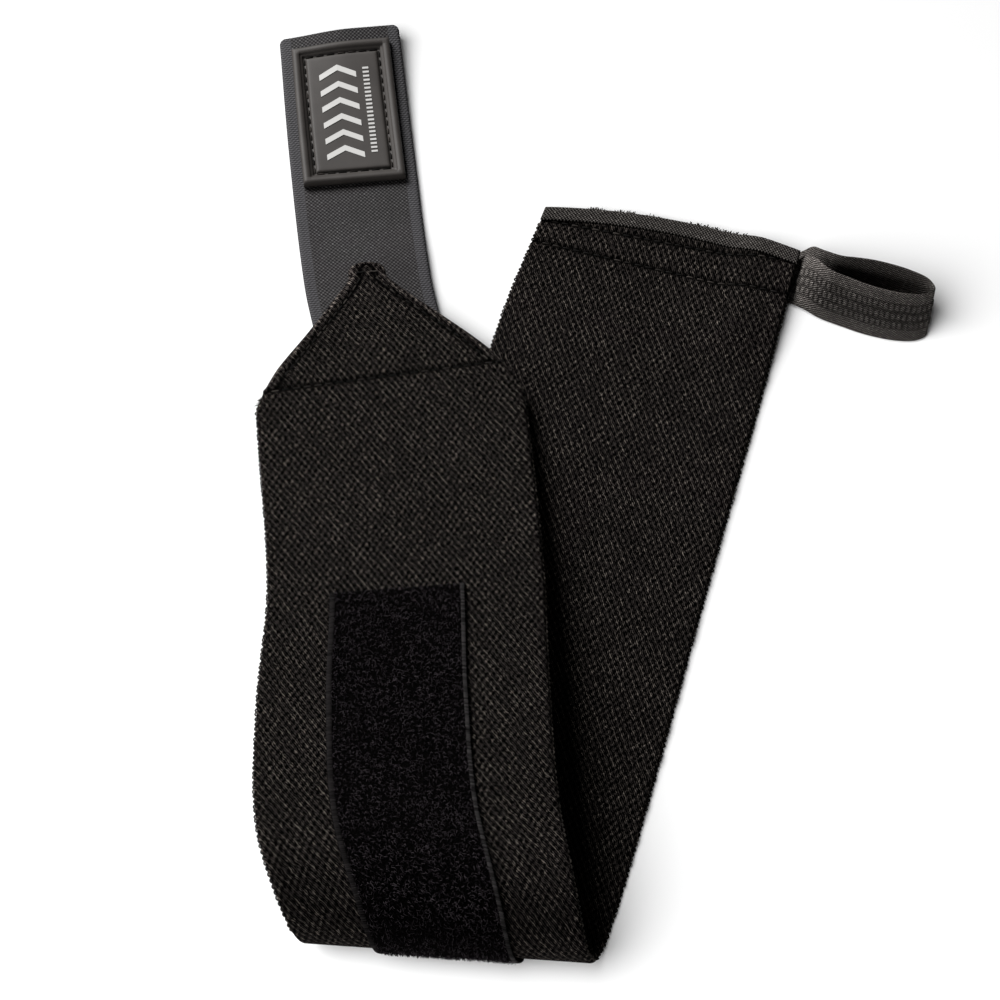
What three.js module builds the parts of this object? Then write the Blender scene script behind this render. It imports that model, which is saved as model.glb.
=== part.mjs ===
// A wrist wrap for lifting, lying folded once on a flat surface.
// Millimetres, +Z up. The hem and its thumb loop are at the far right, the fold is nearest the
// viewer, and the pointed end with its strap lies at the far left. The origin is the middle of
// the part's box, at the surface that it lies on.
//
// Every layer is drawn flat first, as it was cut: s runs along the band from the hem to the
// point, v runs across it, and h is the height over the cloth's middle, positive on the face
// that ends up outside the fold. One bend then carries all the layers round the fold together.
import * as THREE from "three";
import { mergeVertices } from "three/addons/utils/BufferGeometryUtils.js";

// Clearance between two pieces that are sewn together
const GAP = 0.3;

// The woven elastic band
const BAND_LENGTH = 451.5;
const BAND_WIDTH = 78;
const BAND_THICKNESS = 2.2;
const SELVEDGE_ROUND = 0.9;

// The pointed end, two layers thick
const TIP_LENGTH = 45;

// How the band lies: the flat under leg, the cloth in the fold, and the long slope back down
const FLAT_LEG = 236.6;
const FOLD_CLOTH = 50.6;
const FOOT_CLOTH = 99.6;
const SLOPE_ANGLE = 7.84;
const FOLD_SKEW = 10.26;
const LIE_HEADING = -4.34;

// The hem: the cut end bows out in the middle, and its tape presses it thinner
const HEM_BOW = 4.3;
const HEM_SLANT = 0.65;
const HEM_REACH = 2.3;
const HEM_PRESSED = 1.4;
const BINDING_DEPTH = 4;
const BINDING_THICKNESS = 0.5;
const NOSE_SLANT = 0.6;

// The thumb loop's tape
const LOOP_WIDTH = 16;
const LOOP_THICKNESS = 1.1;
const LOOP_REACH = 41.3;
const LOOP_TAIL = 10;
const LOOP_SEAT = 18;

// Where the band rises: over its tape in shares of BINDING_DEPTH, and over the loop's ends from
// its side in shares of LOOP_TAIL and from its hem in shares of LOOP_SEAT
const RISE = { tape: 5, starts: 2.3, full: 1.1, holds: 1.05, fades: 3.2 };

// The pile patch
const PATCH_LENGTH = 125;
const PATCH_WIDTH = 38;
const PATCH_THICKNESS = 1.8;
const PATCH_SETBACK = 77;
const PATCH_ASKEW = 3;
const PATCH_OFFSET = -1;

// The hook strap
const STRAP_LENGTH = 132;
const STRAP_WIDTH = 38;
const STRAP_THICKNESS = 1.6;
const STRAP_SEAM = 4.5;
const STRAP_END_LIFT = 4.5;

// How the strap rests: down on the surface at this share of the point's length, free of it over
// this share of its own length, and curled down by this share of the lift towards one corner,
// from one place to another across it
const STRAP_REST = { down: 1.4, free: 0.45, curl: 0.65, flat: 0.1, corner: -0.55 };

// The moulded label
const LABEL_LENGTH = 52.5;
const LABEL_WIDTH = 31;
const LABEL_THICKNESS = 2;
const LABEL_SETBACK = 6;
const LABEL_FRAME = 3.2;
const LABEL_RELIEF = 0.5;
const LABEL_RIM = 0.5;

// Small sideways wander of the band: shares of its length, of its width, and a width factor
const DRIFT = [
  { at: 0, sway: 0.02, spread: 1.015 },
  { at: 0.1, sway: -0.004, spread: 1.05 },
  { at: 0.27, sway: -0.009, spread: 1.03 },
  { at: 0.48, sway: -0.009, spread: 1 },
  { at: 0.58, sway: -0.027, spread: 0.97 },
  { at: 0.66, sway: -0.087, spread: 1.035 },
  { at: 0.75, sway: -0.06, spread: 1.03 },
  { at: 0.84, sway: -0.006, spread: 1 },
  { at: 0.95, sway: 0.006, spread: 1.01 },
  { at: 1.03, sway: 0.003, spread: 1.01 },
  { at: 1.09, sway: -0.03, spread: 1.01 },
  { at: 1.2, sway: -0.042, spread: 1.02 },
  { at: 1.3, sway: -0.045, spread: 1 },
];

// The fold, as shares of its cloth and of its whole turn
const FOLD = [
  { cloth: 0.32, turn: 0.426 },
  { cloth: 0.28, turn: 0.399 },
  { cloth: 0.4, turn: 0.175 },
];

// The point's outline: shares of its length and of half the band's width
const TIP = [
  { at: 0, half: 0.94 },
  { at: 0.2, half: 0.8 },
  { at: 0.5, half: 0.505 },
  { at: 0.75, half: 0.255 },
  { at: 0.87, half: 0.15 },
  { at: 0.94, half: 0.14 },
  { at: 0.98, half: 0.1 },
  { at: 1, half: 0.03 },
];

// The loop's lower edge: reach beyond the band as a share of LOOP_REACH, place along the band
// as a share of LOOP_SEAT, how much of the stack under the hem still lifts it, and how far the
// tape has turned up on that edge, in degrees from lying flat
const LOOP_EDGE = [
  { reach: 0.02, along: 1.02, raised: 1, lean: 0 },
  { reach: 0.11, along: 1.06, raised: 0.85, lean: 34 },
  { reach: 0.24, along: 1.15, raised: 0.35, lean: 56 },
  { reach: 0.41, along: 1.21, raised: 0, lean: 58 },
  { reach: 0.6, along: 1.27, raised: 0, lean: 60 },
  { reach: 0.8, along: 1.26, raised: 0, lean: 62 },
  { reach: 0.94, along: 1.17, raised: 0, lean: 64 },
  { reach: 1, along: 1.02, raised: 0, lean: 64 },
  { reach: 0.95, along: 0.86, raised: 0, lean: 64 },
  { reach: 0.8, along: 0.75, raised: 0, lean: 64 },
  { reach: 0.55, along: 0.7, raised: 0, lean: 64 },
  { reach: 0.3, along: 0.73, raised: 0, lean: 68 },
  { reach: 0.13, along: 0.8, raised: 0, lean: 50 },
  { reach: 0.01, along: 0.82, raised: 0, lean: 2 },
];

// How many cells the loop has between two rows of its table
const LOOP_STEPS = 5;

const COLOURS = {
  elastic: 0x23211e,
  tape: 0x32302e,
  pile: 0x131315,
  strap: 0x3a3a3c,
  rubber: 0x302f2d,
};

// Where the band starts to narrow before the seam, as a share of the point's length
const SHOULDER = 0.18;

// How much of its thickness a cloth edge keeps, and where the flat leg's rows start to turn
// with the fold, as a share of BAND_WIDTH
const EDGE_THIN = 0.4;
const TURN_START = 0.8;

const HALF_BAND = BAND_WIDTH / 2;
const HALF_THICK = BAND_THICKNESS / 2;
const FLAP_UNDERSIDE = HALF_THICK + BAND_THICKNESS;
const REST_HEIGHT = BAND_THICKNESS + GAP + FLAP_UNDERSIDE;
const HEM_LIFT = HEM_PRESSED / 2 + 2 * GAP + BINDING_THICKNESS - HALF_THICK;
const TAIL_STACK = 2 * (LOOP_THICKNESS + GAP);
const radians = THREE.MathUtils.degToRad;
const { clamp, lerp } = THREE.MathUtils;

// 0 up to the first value and 1 from the second, with a smooth step between, either way round.
function ease(value, from, to) {
  const t = clamp((value - from) / (to - from), 0, 1);
  return t * t * (3 - 2 * t);
}

// The smooth curve through one column of a table, read at a place in its key column.
function along(table, column, at, key = "at") {
  let i = 1;
  while (i < table.length - 1 && at > table[i][key]) i += 1;
  const slope = (j) => {
    const before = table[Math.max(j - 1, 0)];
    const after = table[Math.min(j + 1, table.length - 1)];
    return (after[column] - before[column]) / (after[key] - before[key]);
  };
  const span = table[i][key] - table[i - 1][key];
  const t = clamp((at - table[i - 1][key]) / span, 0, 1);
  const rise = table[i][column] - table[i - 1][column];
  const a = slope(i - 1) * span - rise;
  const b = rise - slope(i) * span;
  return table[i - 1][column] + rise * t + t * (1 - t) * (a * (1 - t) + b * t);
}

// The stretches of the band's side profile. Each holds where it starts and how it turns.
function layProfile() {
  const slope = radians(SLOPE_ANGLE);
  const footDrop = (FOOT_CLOTH * (1 - Math.cos(slope))) / slope;
  const rows = [];
  let next = { start: 0, reach: 0, height: HALF_THICK, heading: Math.PI };
  const lay = (cloth, turn) => {
    const row = { ...next, cloth, turn };
    rows.push(row);
    next = { start: row.start + cloth, ...pointOn(row, cloth) };
  };
  lay(FLAT_LEG, 0);
  for (const { cloth, turn } of FOLD) lay(FOLD_CLOTH * cloth, -(Math.PI + slope) * turn);
  lay((next.height - REST_HEIGHT - footDrop) / Math.sin(slope), 0);
  lay(FOOT_CLOTH, slope);
  lay(BAND_LENGTH, 0);
  return rows;
}

// Reach, height and heading at a distance along one stretch.
function pointOn(row, distance) {
  const turned = (row.turn * distance) / row.cloth;
  const half = turned / 2;
  const chord = Math.abs(half) < 1e-9 ? distance : (distance * Math.sin(half)) / half;
  return {
    reach: row.reach + chord * Math.cos(row.heading + half),
    height: row.height + chord * Math.sin(row.heading + half),
    heading: row.heading + turned,
  };
}

const PROFILE = layProfile();
const SKEW = radians(FOLD_SKEW);
const FOLD_START = PROFILE[1].start / Math.cos(SKEW);
const FOLD_END = PROFILE[4].start / Math.cos(SKEW);
const FOOT_START = PROFILE[5].start / Math.cos(SKEW);

// From the flat pattern to the place in space.
function bend(s, v, h) {
  const share = s / BAND_LENGTH;
  const across = v * along(DRIFT, "spread", share) + BAND_WIDTH * along(DRIFT, "sway", share);
  const p = s * Math.cos(SKEW) + across * Math.sin(SKEW);
  const q = across * Math.cos(SKEW) - s * Math.sin(SKEW);
  const row = PROFILE.findLast((r) => r.start <= p) ?? PROFILE[0];
  const on = pointOn(row, p - row.start);
  const reach = on.reach - h * Math.sin(on.heading);
  const turn = radians(LIE_HEADING);
  return new THREE.Vector3(
    q * Math.cos(turn) - reach * Math.sin(turn),
    q * Math.sin(turn) + reach * Math.cos(turn),
    on.height + h * Math.cos(on.heading),
  );
}

// The same place in plan, at a height over the surface that the part lies on.
function lie(s, v, height) {
  return bend(s, v, 0).setZ(height);
}

// How far the cut end is shifted along the band, by how far it is from the middle.
function hemShift(v) {
  const side = v / HALF_BAND;
  return HEM_BOW * side * side - HEM_SLANT * side - HEM_REACH;
}

// The band near the hem rises over its tape, and at the right over the thumb loop's ends.
function hemLift(s, v) {
  const overTape = HEM_LIFT * ease(s, RISE.tape * BINDING_DEPTH, BINDING_DEPTH);
  const starts = HALF_BAND - RISE.starts * LOOP_TAIL;
  const overEnds = ease(v, starts, HALF_BAND - RISE.full * LOOP_TAIL);
  return overTape + TAIL_STACK * overEnds * ease(s, RISE.fades * LOOP_SEAT, RISE.holds * LOOP_SEAT);
}

// A place on the band, measured from its real cut end.
function onBand(s, v, h) {
  const moved = s + hemShift(v) * ease(s, BAND_WIDTH / 2, 0);
  const point = bend(moved, v, h);
  point.z += hemLift(moved, v);
  return point;
}

// Moves each corner of a geometry to where a function puts it, and closes its seams.
function warped(geometry, place) {
  geometry.deleteAttribute("uv");
  geometry.deleteAttribute("normal");
  const closed = mergeVertices(geometry);
  const corners = closed.getAttribute("position");
  for (let n = 0; n < corners.count; n += 1) {
    const point = place(corners.getX(n), corners.getY(n), corners.getZ(n));
    corners.setXYZ(n, point.x, point.y, point.z);
  }
  closed.computeVertexNormals();
  return closed;
}

// A layer of cloth: a block of cells whose rows, columns and face, -1 inside and 1 outside,
// tell a function where each corner goes.
function layer(lengthwise, crosswise, place) {
  const block = new THREE.BoxGeometry(2, 2, 2, lengthwise, crosswise, 1);
  const index = (at, cells) => Math.round(((at + 1) / 2) * cells);
  return warped(block, (x, y, z) =>
    place(index(x, lengthwise), index(y, crosswise), -Math.sign(z)));
}

// Stations from a start, in runs of equal steps, each given as its end and how many steps.
function stations(start, runs) {
  const places = [start];
  for (const [end, steps] of runs) {
    const from = places[places.length - 1];
    for (let n = 1; n <= steps; n += 1) places.push(from + ((end - from) * n) / steps);
  }
  return places;
}

// A mesh with its name, colour and roughness.
function piece(name, geometry, color, roughness) {
  const material = new THREE.MeshStandardMaterial({ color, roughness, metalness: 0 });
  const mesh = new THREE.Mesh(geometry, material);
  mesh.name = name;
  return mesh;
}

// Half the band's width at a place along it, with the point's outline past the seam.
function halfWidth(s) {
  const past = (s - BAND_LENGTH) / TIP_LENGTH;
  if (past >= 0) return HALF_BAND * along(TIP, "half", past);
  return HALF_BAND * (1 - (1 - TIP[0].half) * ease(past, -SHOULDER, 0));
}

// Half the band's thickness, pressed thin inside the hem's tape.
function halfThickness(s) {
  const free = BINDING_DEPTH + GAP;
  return HEM_PRESSED / 2 + (HALF_THICK - HEM_PRESSED / 2) * ease(s, free, free + HALF_THICK);
}

// The band: two layers thick past the seam, pressed thin at the hem, thinner at its edges.
function wrapBand() {
  const skewReach = HALF_BAND * Math.tan(SKEW);
  const straight = TURN_START * BAND_WIDTH;
  const shoulder = BAND_LENGTH - SHOULDER * TIP_LENGTH;
  const rows = stations(0, [
    [BINDING_DEPTH + GAP, 1],
    [BINDING_DEPTH + GAP + HALF_THICK, 1],
    [straight, 7],
    [FOLD_START - skewReach, 9],
    [FOLD_START, 2],
    [FOLD_END, 24],
    [FOOT_START, 7],
    [shoulder, 7],
    [BAND_LENGTH, 2],
    [BAND_LENGTH + GAP, 1],
    [BAND_LENGTH + TIP[4].at * TIP_LENGTH, 8],
    [BAND_LENGTH + TIP_LENGTH, 4],
  ]);
  const columns = 14;
  return layer(rows.length - 1, columns, (i, j, face) => {
    const half = halfWidth(rows[i]);
    const inner = half - Math.min(SELVEDGE_ROUND, half / 2);
    const atEdge = j === 0 || j === columns;
    const v = atEdge ? Math.sign(j - 1) * half : inner * ((j - 1) / (columns / 2 - 1) - 1);
    const turning = ease(rows[i], straight, FOLD_START - skewReach);
    const turned = turning * ease(rows[i], shoulder, FOOT_START);
    const over = halfThickness(rows[i]);
    const under = rows[i] > BAND_LENGTH ? FLAP_UNDERSIDE : over;
    const depth = (atEdge ? EDGE_THIN : 1) * (over + under);
    return onBand(rows[i] - v * Math.tan(SKEW) * turned, v, (over - under + face * depth) / 2);
  });
}

// The tape folded round the cut end: its U-shaped section, carried across the band.
function endBinding() {
  const inside = HEM_PRESSED / 2 + GAP;
  const outside = inside + BINDING_THICKNESS;
  const noseIn = -GAP;
  const noseOut = noseIn - BINDING_THICKNESS;
  const shoulder = noseOut + NOSE_SLANT;
  const section = new THREE.Shape();
  section.moveTo(BINDING_DEPTH, inside);
  section.lineTo(BINDING_DEPTH, outside);
  section.lineTo(shoulder, outside);
  section.lineTo(noseOut, inside);
  section.lineTo(noseOut, -inside);
  section.lineTo(shoulder, -outside);
  section.lineTo(BINDING_DEPTH, -outside);
  section.lineTo(BINDING_DEPTH, -inside);
  section.lineTo(noseIn, -inside);
  section.lineTo(noseIn, inside);
  section.closePath();
  const run = new THREE.ExtrudeGeometry(section, { depth: 2, steps: 16, bevelEnabled: false });
  return warped(run, (s, h, across) => {
    const v = (across - 1) * HALF_BAND;
    const lifted = onBand(s, v, 0);
    return lifted.setZ(lifted.z - h);
  });
}

// The lower edge of the loop's tape, from one sewn end to the other, with its rows' leans.
function loopCourse() {
  const inner = LOOP_EDGE.map(({ reach, along: place, raised }) =>
    new THREE.Vector3(reach * LOOP_REACH, place * LOOP_SEAT, raised * (LOOP_THICKNESS + GAP)));
  const front = inner[0].clone().setX(-LOOP_TAIL);
  const rear = inner[inner.length - 1].clone().setX(-LOOP_TAIL);
  const edge = new THREE.CatmullRomCurve3([front, ...inner, rear], false, "centripetal");
  const leans = [0, ...LOOP_EDGE.map(({ lean }) => lean), 0];
  return { edge, leans };
}

// The thumb loop: a tape whose two ends lie flat under the hem, one on the other, and whose
// loop has turned up on its edge.
function thumbLoop() {
  const { edge, leans } = loopCourse();
  const steps = (leans.length - 1) * LOOP_STEPS;
  const place = (i, j, face) => {
    const share = i / steps;
    const row = Math.min(Math.floor(i / LOOP_STEPS), leans.length - 2);
    const lean = radians(lerp(leans[row], leans[row + 1], i / LOOP_STEPS - row));
    const ahead = edge.getTangent(share);
    const across = new THREE.Vector3(0, -Math.cos(lean), Math.sin(lean));
    const normal = ahead.clone().cross(across).normalize();
    const point = edge.getPoint(share)
      .addScaledVector(across, (j / 2) * LOOP_WIDTH)
      .addScaledVector(normal, (face * LOOP_THICKNESS) / 2);
    return lie(point.y, HALF_BAND + point.x, point.z + LOOP_THICKNESS / 2);
  };
  return layer(steps, 2, place);
}

// The pile patch, sewn a little askew on the outer face.
function loopPatch() {
  const top = BAND_LENGTH - PATCH_SETBACK;
  const rows = stations(top - PATCH_LENGTH, [
    [FOLD_END, 22],
    [top - 1, 8],
    [top, 1],
  ]);
  const columns = 6;
  const under = HALF_THICK + GAP;
  return layer(rows.length - 1, columns, (i, j, face) => {
    const side = (2 * j) / columns - 1;
    const share = (rows[i] - top + PATCH_LENGTH) / PATCH_LENGTH;
    const askew = PATCH_OFFSET + PATCH_ASKEW * (0.5 - share);
    const atEdge = j === 0 || j === columns || i === 0 || i === rows.length - 1;
    const h = face < 0 ? under : under + PATCH_THICKNESS * (atEdge ? EDGE_THIN : 1);
    const v = (side * PATCH_WIDTH) / 2;
    return onBand(rows[i] - v * Math.tan(SKEW) * ease(rows[i], top - 5, FOLD_END), v + askew, h);
  });
}

// Height of the strap's underside: tucked up against the point, down on the surface, then
// rising to its free end, which curls down at one corner.
function strapUnderside(s, v) {
  const end = BAND_LENGTH + STRAP_SEAM + STRAP_LENGTH;
  const tucked = REST_HEIGHT - FLAP_UNDERSIDE - GAP - STRAP_THICKNESS;
  const down = BAND_LENGTH + STRAP_REST.down * TIP_LENGTH;
  const under = tucked * ease(s, down, BAND_LENGTH + TIP_LENGTH);
  const free = clamp((s - end) / (STRAP_REST.free * STRAP_LENGTH) + 1, 0, 1);
  const curl = 1 - STRAP_REST.curl * ease(v / STRAP_WIDTH, STRAP_REST.flat, STRAP_REST.corner);
  return under + STRAP_END_LIFT * free * free * curl;
}

// The strap of hook tape, sewn under the point.
function strap() {
  const start = BAND_LENGTH + STRAP_SEAM;
  const rows = stations(start, [
    [BAND_LENGTH + TIP_LENGTH, 4],
    [start + STRAP_LENGTH, 16],
  ]);
  const columns = 6;
  return layer(rows.length - 1, columns, (i, j, face) => {
    const v = ((2 * j) / columns - 1) * (STRAP_WIDTH / 2);
    return lie(rows[i], v, strapUnderside(rows[i], v) + (face < 0 ? 0 : STRAP_THICKNESS));
  });
}

// The moulded label on the strap: a raised frame round a lower panel.
function label() {
  const start = BAND_LENGTH + STRAP_SEAM + STRAP_LENGTH - LABEL_SETBACK - LABEL_LENGTH;
  const across = (size, cells) =>
    stations(0, [
      [LABEL_RIM, 1],
      [LABEL_FRAME - LABEL_RIM, 1],
      [LABEL_FRAME, 1],
      [size - LABEL_FRAME, cells],
      [size - LABEL_FRAME + LABEL_RIM, 1],
      [size - LABEL_RIM, 1],
      [size, 1],
    ]);
  const rows = across(LABEL_LENGTH, 8);
  const columns = across(LABEL_WIDTH, 4);
  const inPanel = (place, size) => place >= LABEL_FRAME && place <= size - LABEL_FRAME;
  const onRim = (place, size) => place === 0 || place === size;
  return layer(rows.length - 1, columns.length - 1, (i, j, face) => {
    const s = start + rows[i];
    const v = columns[j] - LABEL_WIDTH / 2;
    const bed = strapUnderside(s, v) + STRAP_THICKNESS + GAP;
    const edge = onRim(rows[i], LABEL_LENGTH) || onRim(columns[j], LABEL_WIDTH);
    const panel = inPanel(rows[i], LABEL_LENGTH) && inPanel(columns[j], LABEL_WIDTH);
    const height = LABEL_THICKNESS - (edge || panel ? LABEL_RELIEF : 0);
    return lie(s, v, bed + (face < 0 ? 0 : height));
  });
}

// All the pieces, moved together so that the part's box is centred over the origin.
function wristWrap() {
  const wrap = new THREE.Group();
  wrap.add(
    piece("wrap_band", wrapBand(), COLOURS.elastic, 0.95),
    piece("end_binding", endBinding(), COLOURS.tape, 0.85),
    piece("thumb_loop", thumbLoop(), COLOURS.tape, 0.85),
    piece("loop_patch", loopPatch(), COLOURS.pile, 1),
    piece("strap", strap(), COLOURS.strap, 0.7),
    piece("label", label(), COLOURS.rubber, 0.5),
  );
  const box = new THREE.Box3().setFromObject(wrap);
  const middle = box.getCenter(new THREE.Vector3());
  for (const mesh of wrap.children) mesh.geometry.translate(-middle.x, -middle.y, -box.min.z);
  return wrap;
}

export default wristWrap();
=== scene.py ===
# %% [markdown]
# A wrist wrap is a strip of strong elastic webbing that is wound round the wrist. This one lies
# folded once. Its hem, with the thumb loop, is at the far right, the fold is nearest to us, and a
# pointed end with a hook strap lies at the far left. Every layer of it was cut flat and then
# bent, so the lesson draws each layer flat, in millimetres along and across the webbing, and one
# function bends them all together.

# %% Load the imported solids
import math

import bmesh
import bpy
import numpy as np
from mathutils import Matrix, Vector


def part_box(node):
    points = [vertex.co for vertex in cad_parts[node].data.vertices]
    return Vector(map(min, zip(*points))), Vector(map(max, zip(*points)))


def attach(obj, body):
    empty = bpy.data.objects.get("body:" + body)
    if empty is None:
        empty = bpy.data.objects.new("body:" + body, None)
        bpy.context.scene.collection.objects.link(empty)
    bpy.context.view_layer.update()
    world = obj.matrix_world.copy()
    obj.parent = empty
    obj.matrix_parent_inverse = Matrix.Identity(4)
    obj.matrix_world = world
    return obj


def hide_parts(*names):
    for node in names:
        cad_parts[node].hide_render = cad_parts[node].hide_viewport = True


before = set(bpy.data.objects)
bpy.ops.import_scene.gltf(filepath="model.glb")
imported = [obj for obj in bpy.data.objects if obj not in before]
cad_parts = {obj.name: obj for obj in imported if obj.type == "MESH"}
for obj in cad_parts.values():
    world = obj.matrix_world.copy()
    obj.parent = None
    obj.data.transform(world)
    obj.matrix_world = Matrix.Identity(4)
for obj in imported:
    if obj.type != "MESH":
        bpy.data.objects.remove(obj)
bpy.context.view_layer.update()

print("solids:", sorted(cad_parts))

# %% [markdown]
# The sizes are those of the real pieces, in millimetres. The tables give shares of them at
# places along the webbing, and a smooth curve is read through each column.

# %% Sizes of the pieces
MM = 0.001
GAP = 0.3
BAND_LENGTH = 451.5
BAND_WIDTH = 78
BAND_THICKNESS = 2.2
TIP_LENGTH = 45
FLAT_LEG = 236.6
FOLD_CLOTH = 50.6
FOOT_CLOTH = 99.6
SLOPE = math.radians(7.84)
SKEW = math.radians(10.26)
LIE_HEADING = math.radians(-4.34)
HEM_BOW, HEM_SLANT, HEM_REACH = 4.3, 0.65, 2.3
HEM_PRESSED = 1.4
BINDING_DEPTH = 4
BINDING_THICKNESS = 0.5
LOOP_WIDTH = 16
LOOP_THICKNESS = 1.1
LOOP_REACH = 41.3
LOOP_TAIL = 10
LOOP_SEAT = 18
# The band's rise, in shares of the tape's depth and of the loop's tail and seat
RISE = {"tape": 5, "starts": 2.3, "full": 1.1, "holds": 1.05, "fades": 3.2}
PATCH_LENGTH, PATCH_WIDTH = 125, 38
PATCH_SETBACK, PATCH_ASKEW, PATCH_OFFSET = 77, 3, -1
STRAP_LENGTH, STRAP_WIDTH, STRAP_THICKNESS = 132, 38, 1.6
STRAP_SEAM, STRAP_END_LIFT = 4.5, 4.5
STRAP_REST = {"down": 1.4, "free": 0.45, "curl": 0.65, "flat": 0.1, "corner": -0.55}
LABEL_LENGTH, LABEL_WIDTH = 52.5, 31
LABEL_SETBACK = 6

HALF_BAND = BAND_WIDTH / 2
HALF_THICK = BAND_THICKNESS / 2
FLAP_UNDERSIDE = HALF_THICK + BAND_THICKNESS
REST_HEIGHT = BAND_THICKNESS + GAP + FLAP_UNDERSIDE
HEM_LIFT = HEM_PRESSED / 2 + 2 * GAP + BINDING_THICKNESS - HALF_THICK
TAIL_STACK = 2 * (LOOP_THICKNESS + GAP)
TIP_END = BAND_LENGTH + TIP_LENGTH
STRAP_START = BAND_LENGTH + STRAP_SEAM
STRAP_END = STRAP_START + STRAP_LENGTH
PATCH_TOP = BAND_LENGTH - PATCH_SETBACK
print("cut length of the whole wrap:", STRAP_END, "mm")

# %% Tables of small shapes
# Sideways wander of the band: share of its length, of its width, and a width factor
DRIFT = {
    "at": [0, 0.1, 0.27, 0.48, 0.58, 0.66, 0.75, 0.84, 0.95, 1.03, 1.09, 1.2, 1.3],
    "sway": [
        0.02, -0.004, -0.009, -0.009, -0.027, -0.087, -0.06,
        -0.006, 0.006, 0.003, -0.03, -0.042, -0.045,
    ],
    "spread": [1.015, 1.05, 1.03, 1, 0.97, 1.035, 1.03, 1, 1.01, 1.01, 1.01, 1.02, 1],
}
# The fold: shares of its cloth and of its whole turn
FOLD = {"cloth": [0.32, 0.28, 0.4], "turn": [0.426, 0.399, 0.175]}
# The point's outline: share of its length and of half the band's width
TIP = {
    "at": [0, 0.2, 0.5, 0.75, 0.87, 0.94, 0.98, 1],
    "half": [0.94, 0.8, 0.505, 0.255, 0.15, 0.14, 0.1, 0.03],
}
SHOULDER = 0.18
# The loop's lower edge, from one sewn end to the other, in shares of its reach, of the seat and
# of the tape's thickness, and the tape's lean from that edge in degrees
LOOP_EDGE = {
    "reach": [0.02, 0.11, 0.24, 0.41, 0.6, 0.8, 0.94, 1, 0.95, 0.8, 0.55, 0.3, 0.13, 0.01],
    "along": [1.02, 1.06, 1.15, 1.21, 1.27, 1.26, 1.17, 1.02, 0.86, 0.75, 0.7, 0.73, 0.8, 0.82],
    "raised": [1, 0.85, 0.35, 0, 0, 0, 0, 0, 0, 0, 0, 0, 0, 0],
    "lean": [0, 34, 56, 58, 60, 62, 64, 64, 64, 64, 64, 68, 50, 2],
}


def along(table, column, at, key="at"):
    """The smooth curve through one column of a table, read at many places."""
    x, y = np.asarray(table[key], float), np.asarray(table[column], float)
    at = np.clip(np.asarray(at, float), x[0], x[-1])
    i = np.clip(np.searchsorted(x, at), 1, len(x) - 1)
    low, high = np.maximum(np.arange(len(x)) - 1, 0), np.minimum(np.arange(len(x)) + 1, len(x) - 1)
    slope = (y[high] - y[low]) / (x[high] - x[low])
    span = x[i] - x[i - 1]
    t = (at - x[i - 1]) / span
    rise = y[i] - y[i - 1]
    a = slope[i - 1] * span - rise
    b = rise - slope[i] * span
    return y[i - 1] + rise * t + t * (1 - t) * (a * (1 - t) + b * t)


def ease(value, start, end):
    """0 up to start and 1 from end, with a smooth step between, either way round."""
    t = np.clip((np.asarray(value, float) - start) / (end - start), 0, 1)
    return t * t * (3 - 2 * t)


print("width factor at the hem:", along(DRIFT, "spread", 0))

# %% [markdown]
# The bend is a side profile of straight and round stretches. A place on the flat pattern first
# finds how far it is along the profile, which is turned a little, because the wrap was folded
# askew. The profile then gives its height and its heading there.

# %% The fold's side profile


def lay_profile():
    """Rows of start, cloth, turn, reach, height and heading, one for each stretch."""
    foot_drop = FOOT_CLOTH * (1 - math.cos(SLOPE)) / SLOPE
    rows, state = [], [0.0, 0.0, HALF_THICK, math.pi]

    def lay(cloth, turn):
        start, reach, height, heading = state
        rows.append((start, cloth, turn, reach, height, heading))
        chord = cloth * np.sinc(turn / 2 / math.pi)
        middle = heading + turn / 2
        reach, height = reach + chord * math.cos(middle), height + chord * math.sin(middle)
        state[:] = start + cloth, reach, height, heading + turn

    lay(FLAT_LEG, 0)
    for cloth, turn in zip(FOLD["cloth"], FOLD["turn"]):
        lay(FOLD_CLOTH * cloth, -(math.pi + SLOPE) * turn)
    lay((state[2] - REST_HEIGHT - foot_drop) / math.sin(SLOPE), 0)
    lay(FOOT_CLOTH, SLOPE)
    lay(BAND_LENGTH, 0)
    return np.array(rows)


PROFILE = lay_profile()
FOLD_START, FOLD_END = PROFILE[1, 0] / math.cos(SKEW), PROFILE[4, 0] / math.cos(SKEW)
print("the fold's cloth runs from", round(FOLD_START), "to", round(FOLD_END), "mm")

# %% From the flat pattern to the place in space


def bend(s, v, h):
    """Places of flat points: s along, v across, h over the middle of the cloth, in mm."""
    s, v, h = np.broadcast_arrays(*(np.asarray(x, float) for x in (s, v, h)))
    share = s / BAND_LENGTH
    across = v * along(DRIFT, "spread", share) + BAND_WIDTH * along(DRIFT, "sway", share)
    p = s * math.cos(SKEW) + across * math.sin(SKEW)
    q = across * math.cos(SKEW) - s * math.sin(SKEW)
    row = np.clip(np.searchsorted(PROFILE[:, 0], p, side="right") - 1, 0, len(PROFILE) - 1)
    start, cloth, turn, reach, height, heading = np.moveaxis(PROFILE[row], -1, 0)
    turned = turn * (p - start) / cloth
    chord = (p - start) * np.sinc(turned / 2 / math.pi)
    reach = reach + chord * np.cos(heading + turned / 2) - h * np.sin(heading + turned)
    height = height + chord * np.sin(heading + turned / 2) + h * np.cos(heading + turned)
    x = q * math.cos(LIE_HEADING) - reach * math.sin(LIE_HEADING)
    y = q * math.sin(LIE_HEADING) + reach * math.cos(LIE_HEADING)
    return np.stack([x, y, height], axis=-1)


def lie(s, v, height):
    """The same place in plan, at a height over the surface that the wrap lies on."""
    place = bend(s, v, 0)
    place[..., 2] = height
    return place


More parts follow.
